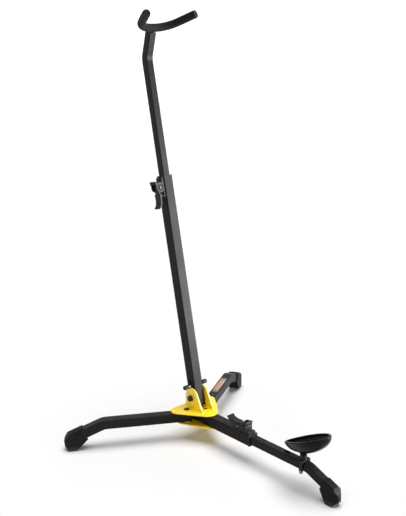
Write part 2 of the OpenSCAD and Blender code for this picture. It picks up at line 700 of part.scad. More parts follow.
module cradle_fork() color(soft_black) difference() {
    under = leg_z + inner_tube / 2 + body_gap;
    union() {
        at_cradle() translate([0, 0, under]) cylinder(d = stem_w, h = stem_top - under, $fn = round_fn);
        // the sides reach down to the cross pin under the tube
        at_fork() translate([-fork_len / 2, -fork_y, cross_pin_z]) cube([fork_len, 2 * fork_y, fork_web - cross_pin_z]);
        at_fork() translate([0, 0, cross_pin_z]) cross_cylinder(fork_len, 2 * fork_y);
    }
    at_cradle() translate([-fork_len, -inner_tube / 2 - body_gap, 0]) cube([3 * fork_len, inner_tube + 2 * body_gap, under]);
    at_fork() translate([0, 0, cross_pin_z]) cross_cylinder(cross_pin_d, 4 * fork_y);
    at_cradle() translate([0, 0, leg_z]) cylinder(d = cradle_screw_d, h = 2 * stem_top, $fn = round_fn);
}
cradle_screw_d = 5;

module cradle_cross_pin() color(steel) at_fork() translate([0, 0, cross_pin_z])
    cross_cylinder(cross_pin_d, 2 * fork_y + 0.4);

// Cup: rings of points on a boat shape, narrower at its rear end, whose sides stand higher
// than its ends
cup_steps = 48;
cup_rings = 8;
cup_taper = 0.3; // how much narrower it gets towards its rear, and wider towards its front
cup_side_rise = 1.5;
cup_ahead = 6.5; // from the stem's axis forwards to the middle of the cup
cup_rim_z = 111;
cup_seat_z = 82.3; // flat seat of the screw's head
function cup_ring(len, width, depth, i) =
    let (a = i * 90 / cup_rings)
    [for (k = [0:cup_steps - 1]) let (b = k * 360 / cup_steps)
        [len / 2 * cos(b) * cos(a), width / 2 * sin(b) * (1 + cup_taper * cos(b)) * cos(a),
            cup_side_rise * pow(sin(b) * cos(a), 2) - depth * sin(a)]];

// Solid of that shape under a cone-shaped lid
module boat(len, width, depth, lid) {
    n = cup_steps;
    last = cup_rings - 1;
    tip = cup_rings * n;
    points = concat([for (i = [0:last]) each cup_ring(len, width, depth, i)], [[0, 0, -depth], [0, 0, lid]]);
    sides = [for (i = [0:last - 1], k = [0:n - 1], half = [0, 1]) let (next = (k + 1) % n)
        half == 0 ? [i * n + k, i * n + next, (i + 1) * n + next] : [i * n + k, (i + 1) * n + next, (i + 1) * n + k]];
    bottom = [for (k = [0:n - 1]) [last * n + k, last * n + (k + 1) % n, tip]];
    top = [for (k = [0:n - 1]) [(k + 1) % n, k, tip + 1]];
    polyhedron(points, concat(sides, bottom, top));
}

module at_cup() at_cradle() translate([cup_ahead, 0, cup_rim_z]) rotate([0, -cup_tilt, 0]) children();

module cradle_cup() color(soft_black) difference() {
    union() {
        at_cup() boat(cup_len, cup_width, cup_depth, 0);
        at_cradle() translate([0, 0, stem_top]) cylinder(d = stem_w, h = 7.5, $fn = round_fn);
    }
    at_cup() translate([0, 0, eps])
        boat(cup_len - 2 * cup_wall, cup_width - 2 * cup_wall, cup_depth - cup_wall, cup_depth);
    at_cradle() translate([0, 0, leg_z]) cylinder(d = cradle_screw_d, h = 2 * stem_top, $fn = round_fn);
    at_cradle() translate([0, 0, cup_seat_z]) cylinder(d = 10.4, h = 20, $fn = round_fn);
}

module cradle_screw() color(steel) at_cradle() {
    low = stem_top - 11;
    translate([0, 0, low]) cylinder(d = cradle_screw_d, h = cup_seat_z - low, $fn = round_fn);
    translate([0, 0, cup_seat_z]) screw_head(9, 3);
}

// ---- the whole stand ----
front_leg_outer_tube();
front_leg_tail_plug();
front_leg_bush();
front_leg_inner_tube();
front_leg_glide();
front_foot_boot();
side_leg_tube(left);  // left_leg_tube
side_leg_tube(right);  // right_leg_tube
side_boot(left);  // left_foot_boot
side_boot(right);  // right_foot_boot
swivel_sleeve(left);  // left_swivel_sleeve
swivel_sleeve(right);  // right_swivel_sleeve
hub_bracket();
hub_base_plate();
swivel_rivet(left);  // left_swivel_rivet
swivel_rivet(right);  // right_swivel_rivet
swivel_washers();
detent_studs();
front_leg_rivets();
post_outer_tube();
post_bush();
post_heel_plug();
post_pivot_sleeve();
post_inner_tube();
post_glide();
neck_plug();
pivot_bolt();
pivot_nut();
pivot_washers();
lock_pin();
lock_knobs();
lock_spring();
color(soft_black) at_post_clamp() clamp_bracket();  // post_clamp_bracket
color(soft_black) at_post_clamp() clamp_lever();  // post_clamp_lever
color(steel) at_post_clamp() clamp_pin();  // post_clamp_pin
color(nylon) at_post_clamp() clamp_shoe();  // post_clamp_shoe
color(steel) at_post_clamp() clamp_screws();  // post_clamp_screws
color(soft_black) at_leg_clamp() clamp_bracket();  // leg_clamp_bracket
color(soft_black) at_leg_clamp() clamp_lever();  // leg_clamp_lever
color(steel) at_leg_clamp() clamp_pin();  // leg_clamp_pin
color(nylon) at_leg_clamp() clamp_shoe();  // leg_clamp_shoe
color(steel) at_leg_clamp() clamp_screws();  // leg_clamp_screws
yoke_rod();
yoke_padding();
yoke_tip_plugs();
cradle_fork();
cradle_cross_pin();
cradle_cup();
cradle_screw();
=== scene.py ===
"""Looks of the folding saxophone stand: materials for its CAD nodes, and detailed pieces in
place of the plain ones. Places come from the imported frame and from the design's sizes, in metres."""

import json
import math

import bmesh
import bpy
from mathutils import Matrix, Vector, noise


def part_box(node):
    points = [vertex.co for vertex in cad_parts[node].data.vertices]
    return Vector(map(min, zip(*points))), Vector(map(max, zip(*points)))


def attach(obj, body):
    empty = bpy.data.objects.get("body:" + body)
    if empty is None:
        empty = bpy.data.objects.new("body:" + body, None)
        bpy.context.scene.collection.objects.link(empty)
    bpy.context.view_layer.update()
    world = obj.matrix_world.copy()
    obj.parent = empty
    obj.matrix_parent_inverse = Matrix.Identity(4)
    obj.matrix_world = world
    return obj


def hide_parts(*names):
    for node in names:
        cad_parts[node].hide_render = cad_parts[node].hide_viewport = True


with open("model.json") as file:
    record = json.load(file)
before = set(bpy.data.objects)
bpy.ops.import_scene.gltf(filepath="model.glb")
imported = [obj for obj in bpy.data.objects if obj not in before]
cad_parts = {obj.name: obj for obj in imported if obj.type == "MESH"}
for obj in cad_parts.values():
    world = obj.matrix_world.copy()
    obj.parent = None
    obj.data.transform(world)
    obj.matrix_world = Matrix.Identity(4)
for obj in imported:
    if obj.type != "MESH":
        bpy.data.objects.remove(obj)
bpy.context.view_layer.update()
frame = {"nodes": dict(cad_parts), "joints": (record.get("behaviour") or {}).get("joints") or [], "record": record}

MM = 0.001
UP = Vector((0, 0, 1))
AHEAD = Vector((1, 0, 0))
ACROSS = Vector((0, 1, 0))

# ---- the design's sizes ----
# Neck, from the pivot up the post and then up the bent neck
NECK_BEND_AT = 765 * MM
NECK_BEND = math.radians(26.6)
NECK_LEN = 65 * MM

# Yoke
YOKE_RISE = math.radians(24)
YOKE_AHEAD = 4 * MM
YOKE_BACK_HALF = 4 * MM
YOKE_CORNER_R = 50 * MM
YOKE_ARM = 44 * MM
YOKE_FLARE = math.radians(23)
PAD_R = 9 * MM

# Hub and legs. The side legs swivel a little behind the hub's centre
SWIVEL_BACK = 16.35 * MM
SIDE_LEG_TURN = math.radians(120)
LEG_TOP = 65.5 * MM

# Cradle, from the hub's centre. The cup is placed by the middle of its rim
STEM_AT = 309 * MM
STEM_TOP = 76.5 * MM
CUP_AT = Vector((315.5, 0, 111)) * MM
CUP_TILT = math.radians(24)
CUP_LEN, CUP_WIDTH, CUP_DEPTH, CUP_WALL = 121 * MM, 58 * MM, 27 * MM, 4 * MM
CUP_TAPER = 0.3
CUP_SIDE_RISE = 1.5 * MM
CUP_LIP_R = 2.5 * MM
CUP_LIP_DROP = 0.6 * MM

# Label on the right leg, from the hub's centre
LABEL_AT = 146 * MM
LABEL_HALF_LEN, LABEL_HALF_WIDTH, LABEL_CORNER = 42 * MM, 7 * MM, 1.5 * MM

# Lock knobs
KNOB_LEN = 13 * MM
KNOB_SIDES = 72
FLUTE_SIDES = 6
FLUTE_DEPTH = 0.045


# ---- places and directions ----
def placed(origin, x_axis, y_axis):
    """Matrix of a frame at origin whose X and Y axes point that way."""
    z_axis = x_axis.cross(y_axis)
    return Matrix.Translation(origin) @ Matrix((x_axis, y_axis, z_axis)).transposed().to_4x4()


def turned(direction, angle, axis="Y"):
    """direction, turned about one of the stand's axes."""
    return Matrix.Rotation(angle, 3, axis) @ direction


joints = {joint["name"]: joint for joint in frame["joints"]}
pivot = Vector(joints["post_fold"]["pos_m"])
hub = Vector((joints["left_leg_swivel"]["pos_m"][0] + SWIVEL_BACK, 0, 0))
left_axis = turned(AHEAD, -SIDE_LEG_TURN, "Z")
right_axis = turned(AHEAD, SIDE_LEG_TURN, "Z")
post_axis = Vector(joints["post_height"]["axis"]).normalized()
post_front = ACROSS.cross(post_axis)
neck_axis = turned(post_axis, NECK_BEND)
neck_top = pivot + post_axis * NECK_BEND_AT + neck_axis * NECK_LEN
yoke_axis = turned(AHEAD, -YOKE_RISE)
yoke_frame = placed(neck_top + yoke_axis * YOKE_AHEAD, yoke_axis, ACROSS)
cup_frame = placed(hub + CUP_AT, turned(AHEAD, -CUP_TILT), ACROSS)
label_middle = hub + right_axis * LABEL_AT + UP * LEG_TOP
# The clamps' frames are on the levers' pins: X towards the tube's mouth, Z away from its face
clamp_frames = {
    "leg": placed(Vector(joints["leg_lever_open"]["pos_m"]), AHEAD, ACROSS),
    "post": placed(Vector(joints["post_lever_open"]["pos_m"]), post_axis, -post_front),
}


# ---- materials ----
class Paint:
    """A material whose node tree is built with short calls. Scales are per metre."""

    def __init__(self, name, **shader):
        self.material = bpy.data.materials.new(name)
        self.material.use_nodes = True
        self.tree = self.material.node_tree
        self.shader = self.tree.nodes["Principled BSDF"]
        for socket, value in shader.items():
            self.shader.inputs[socket.replace("_", " ")].default_value = value
        self.place = self.node("ShaderNodeTexCoord").outputs["Object"]

    def node(self, kind, settings=None, **inputs):
        """New node. Its inputs are given by name, or as i0, i1 and so on."""
        made = self.tree.nodes.new(kind)
        for key, value in (settings or {}).items():
            setattr(made, key, value)
        for key, value in inputs.items():
            numbered = key[1:].isdigit()
            self.put(value, made.inputs[int(key[1:]) if numbered else key.replace("_", " ")])
        return made

    def put(self, value, socket):
        """Links or sets a socket."""
        if isinstance(value, bpy.types.NodeSocket):
            self.tree.links.new(value, socket)
        else:
            socket.default_value = value

    def set(self, socket, value):
        """Links or sets a socket of the shader."""
        self.put(value, self.shader.inputs[socket])

    def math(self, operation, a, b):
        return self.node("ShaderNodeMath", {"operation": operation}, i0=a, i1=b).outputs[0]

    def spread(self, value, low, high, to_low=0.0, to_high=1.0):
        """value from low..high mapped to to_low..to_high, and clamped."""
        made = self.node("ShaderNodeMapRange", Value=value, From_Min=low, From_Max=high,
                         To_Min=to_low, To_Max=to_high)
        return made.outputs["Result"]

    def noise(self, scale, detail=2.0, rough=0.5, place=None):
        made = self.node("ShaderNodeTexNoise", Vector=place or self.place, Scale=scale,
                         Detail=detail, Roughness=rough)
        return made.outputs["Fac"]

    def cells(self, scale):
        return self.node("ShaderNodeTexVoronoi", Vector=self.place, Scale=scale).outputs["Distance"]

    def mix(self, share, a, b):
        """Colour between a (share 0) and b (share 1)."""
        made = self.node("ShaderNodeMix", {"data_type": "RGBA"}, Factor=share, i6=a, i7=b)
        return made.outputs[2]

    def along(self, direction):
        """How far a point lies along a direction."""
        made = self.node("ShaderNodeVectorMath", {"operation": "DOT_PRODUCT"},
                         i0=self.place, i1=tuple(direction))
        return made.outputs["Value"]

    def stretched(self, direction, factor):
        """Coordinates in which detail is drawn out by factor along a direction."""
        pull = self.math("MULTIPLY", self.along(direction), 1 / factor - 1)
        back = self.node("ShaderNodeVectorMath", {"operation": "SCALE"}, i0=tuple(direction), Scale=pull)
        return self.node("ShaderNodeVectorMath", i0=self.place, i1=back.outputs[0]).outputs[0]

    def upward(self):
        """1 on faces that look up, 0 on the others."""
        normal = self.node("ShaderNodeNewGeometry").outputs["Normal"]
        z = self.node("ShaderNodeSeparateXYZ", Vector=normal).outputs["Z"]
        return self.spread(z, 0.6, 0.98)

    def bump(self, height, strength, distance, under=None):
        """Bump on the shader's normal, on top of the one given as under."""
        made = self.node("ShaderNodeBump", Height=height, Strength=strength, Distance=distance)
        if under is not None:
            self.put(under, made.inputs["Normal"])
        self.set("Normal", made.outputs[0])
        return made.outputs[0]


DUST = (0.30, 0.28, 0.26, 1)
FLOOR_DUST = (0.20, 0.19, 0.18, 1)


def grey(value):
    """Slightly warm grey."""
    return (value * 1.08, value * 0.97, value, 1)


def powder_coat(name, tube_axis):
    """Satin black powder coat on steel tube, with faint draw lines and handling marks along it."""
    p = Paint(name, Specular_IOR_Level=0.09)
    blotch = p.noise(9, 3)
    lines = p.noise(900, 3, place=p.stretched(tube_axis, 60))
    rubbed = p.spread(p.noise(240, 4, 0.65, p.stretched(tube_axis, 25)), 0.66, 0.74)
    base = p.mix(blotch, grey(0.006), grey(0.011))
    base = p.mix(p.math("MULTIPLY", rubbed, 0.35), base, grey(0.05))
    dusty = p.math("MULTIPLY", p.upward(), p.spread(p.noise(140, 4), 0.4, 0.9, 0.0, 0.08))
    p.set("Base Color", p.mix(dusty, base, DUST))
    uneven = p.math("ADD", blotch, p.math("MULTIPLY", lines, 0.5))
    p.set("Roughness", p.spread(uneven, 0.4, 1.1, 0.34, 0.5))
    peel = p.bump(p.noise(750, 1), 0.25, 0.25 * MM)
    p.bump(p.noise(2600, 2), 0.2, 0.12 * MM, peel)
    return p.material


def moulded(name, shade, rough):
    """Moulded plastic with the fine spark texture of its mould."""
    p = Paint(name, Specular_IOR_Level=0.14)
    blotch = p.noise(35, 3)
    p.set("Base Color", p.mix(blotch, grey(shade * 0.75), grey(shade * 1.3)))
    p.set("Roughness", p.spread(blotch, 0.3, 0.7, rough - 0.05, rough + 0.07))
    flow = p.bump(p.noise(120, 2), 0.1, 0.4 * MM)
    p.bump(p.cells(2200), 0.22, 0.15 * MM, flow)
    return p.material


def boot_rubber():
    """Black rubber with a bloom on its flats and floor dust low down."""
    p = Paint("boot_rubber", Specular_IOR_Level=0.06)
    blotch = p.noise(60, 4, 0.6)
    height = p.node("ShaderNodeSeparateXYZ", Vector=p.place).outputs["Z"]
    low = p.math("MULTIPLY", p.spread(height, 0.0, 12 * MM, 1.0, 0.0), p.spread(p.noise(300, 3), 0.35, 0.7))
    base = p.mix(blotch, grey(0.005), grey(0.012))
    p.set("Base Color", p.mix(p.math("MULTIPLY", low, 0.35), base, FLOOR_DUST))
    p.set("Roughness", p.spread(blotch, 0.3, 0.7, 0.42, 0.62))
    skin = p.bump(p.noise(500, 3), 0.2, 0.3 * MM)
    p.bump(p.cells(2600), 0.15, 0.12 * MM, skin)
    return p.material


def yellow_paint():
    """Glossy yellow powder coat with orange peel, a little soiled."""
    p = Paint("hub_yellow", Specular_IOR_Level=0.5, Coat_Weight=0.25, Coat_Roughness=0.12)
    blotch = p.noise(28, 3)
    soil = p.spread(p.noise(160, 5, 0.65), 0.58, 0.8, 0.0, 0.3)
    base = p.mix(blotch, (0.80, 0.55, 0.007, 1), (0.87, 0.63, 0.013, 1))
    p.set("Base Color", p.mix(soil, base, (0.50, 0.29, 0.010, 1)))
    p.set("Roughness", p.spread(blotch, 0.3, 0.7, 0.3, 0.42))
    p.bump(p.noise(620, 1), 0.3, 0.3 * MM)
    return p.material


def zinc():
    """Zinc plated steel with fine turning marks."""
    p = Paint("zinc", Metallic=1.0)
    blotch = p.noise(260, 3)
    p.set("Base Color", p.mix(blotch, (0.42, 0.43, 0.45, 1), (0.66, 0.66, 0.66, 1)))
    p.set("Roughness", p.spread(blotch, 0.3, 0.7, 0.24, 0.42))
    p.bump(p.noise(3200, 2), 0.15, 0.1 * MM)
    return p.material


def black_zinc():
    """Blackened steel fasteners, brighter where a spanner has been."""
    p = Paint("black_hardware", Metallic=0.7)
    worn = p.spread(p.noise(700, 4, 0.7), 0.55, 0.75)
    p.set("Base Color", p.mix(worn, grey(0.02), grey(0.10)))
    p.set("Roughness", p.spread(p.noise(300, 3), 0.3, 0.7, 0.3, 0.48))
    p.bump(p.noise(1800, 2), 0.2, 0.15 * MM)
    return p.material


def nylon():
    """Natural nylon, slightly translucent and greasy."""
    p = Paint("nylon", Subsurface_Weight=0.15)
    p.set("Base Color", p.mix(p.noise(90, 3), (0.62, 0.58, 0.50, 1), (0.78, 0.75, 0.68, 1)))
    p.set("Roughness", p.spread(p.noise(400, 2), 0.3, 0.7, 0.35, 0.5))
    return p.material


def foam():
    """Closed-cell foam: a soft black skin with open pores, whose pits are painted darker as shade."""
    p = Paint("yoke_foam", Specular_IOR_Level=0.06, Sheen_Weight=0.02, Sheen_Roughness=0.4)
    blotch = p.noise(70, 4, 0.6)
    pores = p.cells(1500)
    skin_tone = p.mix(blotch, grey(0.008), grey(0.016))
    # The pores are painted darker than the skin: painted shade in their pits.
    p.set("Base Color", p.mix(p.spread(pores, 0.1, 0.5), grey(0.004), skin_tone))
    p.set("Roughness", p.spread(blotch, 0.3, 0.7, 0.55, 0.75))
    skin = p.bump(blotch, 0.3, 0.6 * MM)
    p.bump(p.spread(pores, 0.0, 0.45), 0.35, 0.18 * MM, skin)
    return p.material


def gloss_black():
    """Glossy moulded plastic with fine polishing swirls."""
    p = Paint("cup_gloss", Specular_IOR_Level=0.09)
    p.set("Base Color", p.mix(p.noise(40, 3), grey(0.003), grey(0.006)))
    swirl = p.spread(p.noise(900, 5, 0.7), 0.45, 0.75)
    p.set("Roughness", p.math("ADD", p.math("MULTIPLY", swirl, 0.10), 0.16))
    p.bump(p.noise(150, 2), 0.15, 0.4 * MM)
    return p.material


def label_paint():
    """Plain printed strip: a mottled tan field on a grey ground, with nothing written on it."""
    p = Paint("label", Specular_IOR_Level=0.4, Roughness=0.35)
    at = p.along(right_axis)
    middle = label_middle.dot(right_axis)
    start, end = middle - 34 * MM, middle + 30 * MM
    field = p.math("MULTIPLY", p.spread(at, start, start + MM), p.spread(at, end, end + MM, 1.0, 0.0))
    tan = p.mix(p.noise(260, 2), (0.22, 0.15, 0.12, 1), (0.42, 0.24, 0.12, 1))
    p.set("Base Color", p.mix(field, (0.13, 0.12, 0.12, 1), tan))
    p.bump(p.noise(900, 2), 0.1, 0.1 * MM)
    return p.material


paints = {
    "front_leg": powder_coat("front_leg_black", AHEAD),
    "left_leg": powder_coat("left_leg_black", left_axis),
    "right_leg": powder_coat("right_leg_black", right_axis),
    "post": powder_coat("post_black", post_axis),
    "moulded_black": moulded("moulded_black", 0.012, 0.42),
    "fork_black": moulded("fork_black", 0.010, 0.38),
    "boot_rubber": boot_rubber(),
    "hub_yellow": yellow_paint(),
    "black_hardware": black_zinc(),
    "zinc": zinc(),
    "nylon": nylon(),
    "yoke_foam": foam(),
    "cup_gloss": gloss_black(),
    "label": label_paint(),
}

# ---- CAD nodes ----
# The tubes share one material slot, and their draw lines run in different directions
TUBE_PAINT = {
    "front_leg_outer_tube": "front_leg",
    "front_leg_inner_tube": "front_leg",
    "left_leg_tube": "left_leg",
    "right_leg_tube": "right_leg",
    "post_outer_tube": "post",
    "post_inner_tube": "post",
}
# Radii of rounded edges, where they differ from the usual one
EDGE_R = 0.35 * MM
EDGE_RADII = {
    "hub_bracket": 0.9 * MM,
    "hub_base_plate": 0.9 * MM,
    "front_foot_boot": 1.6 * MM,
    "left_foot_boot": 1.6 * MM,
    "right_foot_boot": 1.6 * MM,
    "cradle_fork": 0.8 * MM,
    "pivot_bolt": 0.5 * MM,
}
AS_MADE = ("lock_spring",)
slot_of = {row["node"]: row["material_slot"] for row in frame["record"]["subparts"]}


def soften(node, radius):
    """Rounds the sharp edges of a CAD node with modifiers, and leaves its own mesh as it is."""
    weld = node.modifiers.new("weld", "WELD")
    weld.merge_threshold = 0.01 * MM
    flat = node.modifiers.new("flat", "DECIMATE")
    flat.decimate_type = "DISSOLVE"
    flat.angle_limit = math.radians(0.5)
    bevel = node.modifiers.new("bevel", "BEVEL")
    bevel.width = radius
    bevel.segments = 3
    bevel.limit_method = "ANGLE"
    bevel.angle_limit = math.radians(35)
    bevel.harden_normals = True


def dress(name, node):
    """Gives a CAD node its material and its rounded edges."""
    node.data.materials.clear()
    node.data.materials.append(paints[TUBE_PAINT.get(name, slot_of[name])])
    if name not in AS_MADE:
        soften(node, EDGE_RADII.get(name, EDGE_R))


# ---- meshes ----
def linked(name, data):
    """New object in the scene."""
    made = bpy.data.objects.new(name, data)
    bpy.context.scene.collection.objects.link(made)
    return made


def piece(name, mesh, body, slot, paint=None):
    """Visible piece of the stand that moves with a body."""
    made = linked(name, mesh)
    mesh.materials.append(paints[paint or slot])
    for face in mesh.polygons:
        face.use_smooth = True
    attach(made, body)
    return made


def smoothed(made):
    """One level of subdivision on a piece."""
    smooth = made.modifiers.new("smooth", "SUBSURF")
    smooth.levels = smooth.render_levels = 1
    return made


def mesh_of(grid, name):
    mesh = bpy.data.meshes.new(name)
    grid.to_mesh(mesh)
    grid.free()
    return mesh


def loft(rings, closed=False):
    """Mesh through rings of equally many points. An open loft is capped at both ends."""
    grid = bmesh.new()
    loops = [[grid.verts.new(point) for point in ring] for ring in rings]
    count = len(rings[0])
    following = loops[1:] + loops[:1] if closed else loops[1:]
    for low, high in zip(loops, following):
        for k in range(count):
            grid.faces.new((low[k], low[(k + 1) % count], high[(k + 1) % count], high[k]))
    if not closed:
        grid.faces.new(list(reversed(loops[0])))
        grid.faces.new(loops[-1])
    bmesh.ops.recalc_face_normals(grid, faces=grid.faces)
    return mesh_of(grid, "loft")


def joined(meshes):
    """One mesh out of several."""
    grid = bmesh.new()
    for mesh in meshes:
        grid.from_mesh(mesh)
    return mesh_of(grid, "joined")


def circle_points(count):
    """Points on the unit circle."""
    angles = [2 * math.pi * k / count for k in range(count)]
    return [(math.cos(a), math.sin(a)) for a in angles]


def turned_solid(frame_of, profile, count=48, share_at=lambda k: 1.0):
    """Solid of revolution about a frame's Z, from (radius, height) pairs in mm. share_at gives
    the share of the radius at the kth point around."""
    around = [(x * share_at(k), y * share_at(k)) for k, (x, y) in enumerate(circle_points(count))]
    return loft([[frame_of @ (Vector((r * x, r * y, z)) * MM) for x, y in around] for r, z in profile])


def round_bar(frame_of, start, end, radius, sides=12):
    """Bar with domed ends between two points of a frame, all in mm."""
    start, end = Vector(start), Vector(end)
    along = (end - start).normalized()
    sideways = along.orthogonal().normalized()
    other = along.cross(sideways)
    # end point, how far beyond it in radii, and share of the radius
    stations = ((start, -1, 0.35), (start, -0.7, 0.72), (start, 0, 1),
                (end, 0, 1), (end, 0.7, 0.72), (end, 1, 0.35))
    rings = []
    for at, out, share in stations:
        centre = at + along * (radius * out)
        rings.append([frame_of @ ((centre + (sideways * x + other * y) * (radius * share)) * MM)
                      for x, y in circle_points(sides)])
    return loft(rings)


def torus(frame_of, centre, axis, big, small, count=32, sides=10):
    """Ring around an axis of a frame, all in mm."""
    centre, axis = Vector(centre), Vector(axis)
    first = axis.orthogonal().normalized()
    second = axis.cross(first)
    rings = []
    for x, y in circle_points(count):
        out = first * x + second * y
        rings.append([frame_of @ ((centre + out * (big + small * u) + axis * (small * v)) * MM)
                      for u, v in circle_points(sides)])
    return loft(rings, closed=True)


# ---- yoke ----
CORNER_STEPS = 20
ARM_STEPS = 12
# How the sleeve rolls in to the rod at its ends: mm back from the tip, and share of its radius
SLEEVE_ROLL = ((1.9, 0.52), (0.6, 0.62), (0.0, 0.80), (0.6, 0.94), (1.9, 1.0))
SLEEVE_UNEVEN = 0.12 * MM
SLEEVE_PUCKER = 0.22 * MM


def yoke_path():
    """Stations (x, y, heading) of the yoke's centre line from its left tip to its right tip."""
    corner = []
    for i in range(CORNER_STEPS + 1):
        a = (math.pi / 2 - YOKE_FLARE) * i / CORNER_STEPS - math.pi / 2
        x = YOKE_CORNER_R * (1 + math.sin(a))
        corner.append((x, YOKE_BACK_HALF + YOKE_CORNER_R * math.cos(a), -a))
    x, y, heading = corner[-1]
    reaches = [YOKE_ARM * i / ARM_STEPS for i in range(1, ARM_STEPS + 1)]
    half = corner + [(x + t * math.cos(heading), y + t * math.sin(heading), heading) for t in reaches]
    return [(x, -y, math.pi - heading) for x, y, heading in reversed(half)] + half


def sleeve_ring(station, radius, ahead=0.0, pucker=0.0):
    """Ring of the sleeve around a station, moved ahead along the path. The pucker draws it in on
    the inside of the bend."""
    x, y, heading = station
    way = Vector((math.cos(heading), math.sin(heading), 0))
    inward = Vector((-math.sin(heading), math.cos(heading), 0))
    centre = Vector((x, y, 0)) + way * ahead
    points = []
    for cx, cy in circle_points(32):
        r = radius - pucker * max(0.0, cx)
        points.append(yoke_frame @ (centre + inward * (cx * r) + Vector((0, 0, cy * r))))
    return points


def foam_sleeve():
    """Foam sleeve on the yoke's rod: its ends roll in to the rod, and its skin puckers a little
    on the inside of the corners."""
    stations = yoke_path()
    last = len(stations) - 1
    rings = [sleeve_ring(stations[0], PAD_R * share, back * MM) for back, share in SLEEVE_ROLL]
    for i in range(1, last):
        x, y, _ = stations[i]
        uneven = noise.noise(Vector((x, y, 0)) * 60) * SLEEVE_UNEVEN
        in_bend = ARM_STEPS < i < last - ARM_STEPS
        pucker = SLEEVE_PUCKER * math.sin(i * 2.1) ** 2 if in_bend else 0.0
        rings.append(sleeve_ring(stations[i], PAD_R + uneven, 0.0, pucker))
    rings += [sleeve_ring(stations[last], PAD_R * share, -back * MM) for back, share in reversed(SLEEVE_ROLL)]
    made = smoothed(piece("yoke_foam_sleeve", loft(rings), "upper_post", "yoke_foam"))
    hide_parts("yoke_padding")


# ---- cradle ----
# Boss under the cup: radius and height above the stem's top, in mm
BOSS_PROFILE = ((6.6, 0), (7.1, 0.15), (7.25, 0.6), (7.25, 1.8), (7.6, 2.8), (8.3, 3.8), (8.6, 5.4))
# Points around the cup, and angles of its rings: down its sides, and around its rolled lip
CUP_STEPS = 72
CUP_FALLS = [math.radians(a) for a in (89, 80, 70, 60, 50, 40, 30, 20, 12)]
LIP_TURNS = [math.radians(a) for a in range(-40, 221, 26)]


def cup_point(size, a, b):
    """Point of a boat shape of that (length, width, depth): a from the rim (0) to the bottom
    (pi / 2), b around it."""
    length, width, depth = size
    rise = CUP_SIDE_RISE * (math.sin(b) * math.cos(a)) ** 2
    return Vector((length / 2 * math.cos(b) * math.cos(a),
                   width / 2 * math.sin(b) * (1 + CUP_TAPER * math.cos(b)) * math.cos(a),
                   rise - depth * math.sin(a)))


def cup():
    """Cup with a rolled lip, on a boss that flares into its underside."""
    outer = (CUP_LEN, CUP_WIDTH, CUP_DEPTH)
    inner = (CUP_LEN - 2 * CUP_WALL, CUP_WIDTH - 2 * CUP_WALL, CUP_DEPTH - CUP_WALL)
    around = [2 * math.pi * k / CUP_STEPS for k in range(CUP_STEPS)]
    rings = [[cup_point(outer, a, b) for b in around] for a in CUP_FALLS]
    for phi in LIP_TURNS:
        ring = []
        for b in around:
            edge, edge_in = cup_point(outer, 0, b), cup_point(inner, 0, b)
            centre = (edge + edge_in) / 2 - UP * CUP_LIP_DROP
            out = (edge - edge_in).normalized()
            ring.append(centre + out * (CUP_LIP_R * math.cos(phi)) + UP * (CUP_LIP_R * math.sin(phi)))
        rings.append(ring)
    rings += [[cup_point(inner, a, b) for b in around] for a in reversed(CUP_FALLS)]
    shell = loft([[cup_frame @ point for point in ring] for ring in rings])
    made = smoothed(piece("cradle_cup_shell", shell, "cradle", "cup_gloss"))
    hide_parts("cradle_cup")

    stem = Matrix.Translation(hub + AHEAD * STEM_AT + UP * STEM_TOP)
    boss = piece("cradle_cup_boss", turned_solid(stem, BOSS_PROFILE), "cradle", "cup_gloss")
    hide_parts("cradle_cup")


# ---- clamps ----
# All in mm in the clamps' frames. Bars across a clamp are placed by (x, z)
RIBS = ((-26, 4.25), (-29.5, 4.4), (-33, 4.75), (-36.5, 5.5), (-40, 7.0))
RIB_HALF, RIB_R = 7.8, 0.65
FRONT_AT, FRONT_HALF, FRONT_LOW, FRONT_HIGH, FRONT_R = 10.6, 7.6, -4.2, 5.6, 0.5
COLLAR_SIDE, COLLAR_R, COLLAR_WIRE = 9.9, 6.2, 0.9
LIP_RIDGES = ((13.6, -5.9), (17.4, -5.7))
LIP_RIDGE_HALF, LIP_RIDGE_R = 9, 0.7
STOP_AT, STOP_HALF, STOP_R = (8, 12.9), 8.5, 0.6


def cross_bar(frame_of, at, half, radius):
    """Bar across a clamp at (x, z)."""
    x, z = at
    return round_bar(frame_of, (x, -half, z), (x, half, z), radius)


def lever_grip(which, body):
    """Ribs across the lever's paddle where the thumb lifts it."""
    ribs = [cross_bar(clamp_frames[which], at, RIB_HALF, RIB_R) for at in RIBS]
    piece(which + "_lever_ribs", joined(ribs), body, "moulded_black")


def clamp_mouldings(which, body):
    """Moulded details of a clamp's bracket: a frame on the front of its housing, collars around
    the pin, ridges on its lip and a small stop on top."""
    frame_of = clamp_frames[which]
    corners = [(FRONT_AT, -FRONT_HALF, FRONT_LOW), (FRONT_AT, FRONT_HALF, FRONT_LOW),
               (FRONT_AT, FRONT_HALF, FRONT_HIGH), (FRONT_AT, -FRONT_HALF, FRONT_HIGH)]
    parts = [round_bar(frame_of, corners[k], corners[(k + 1) % 4], FRONT_R) for k in range(4)]
    parts += [torus(frame_of, (0, y, 0), ACROSS, COLLAR_R, COLLAR_WIRE) for y in (-COLLAR_SIDE, COLLAR_SIDE)]
    parts += [cross_bar(frame_of, at, LIP_RIDGE_HALF, LIP_RIDGE_R) for at in LIP_RIDGES]
    parts.append(cross_bar(frame_of, STOP_AT, STOP_HALF, STOP_R))
    piece(which + "_clamp_mouldings", joined(parts), body, "moulded_black")


# ---- lock knobs ----
# Radius and height of a knob, in mm
KNOB_PROFILE = ((3.9, 0), (4.4, 0.3), (4.95, 1.6), (5, 3), (5, 10.2), (4.8, 11.6), (4.1, 12.5),
                (2.6, 12.9), (0.8, 13))


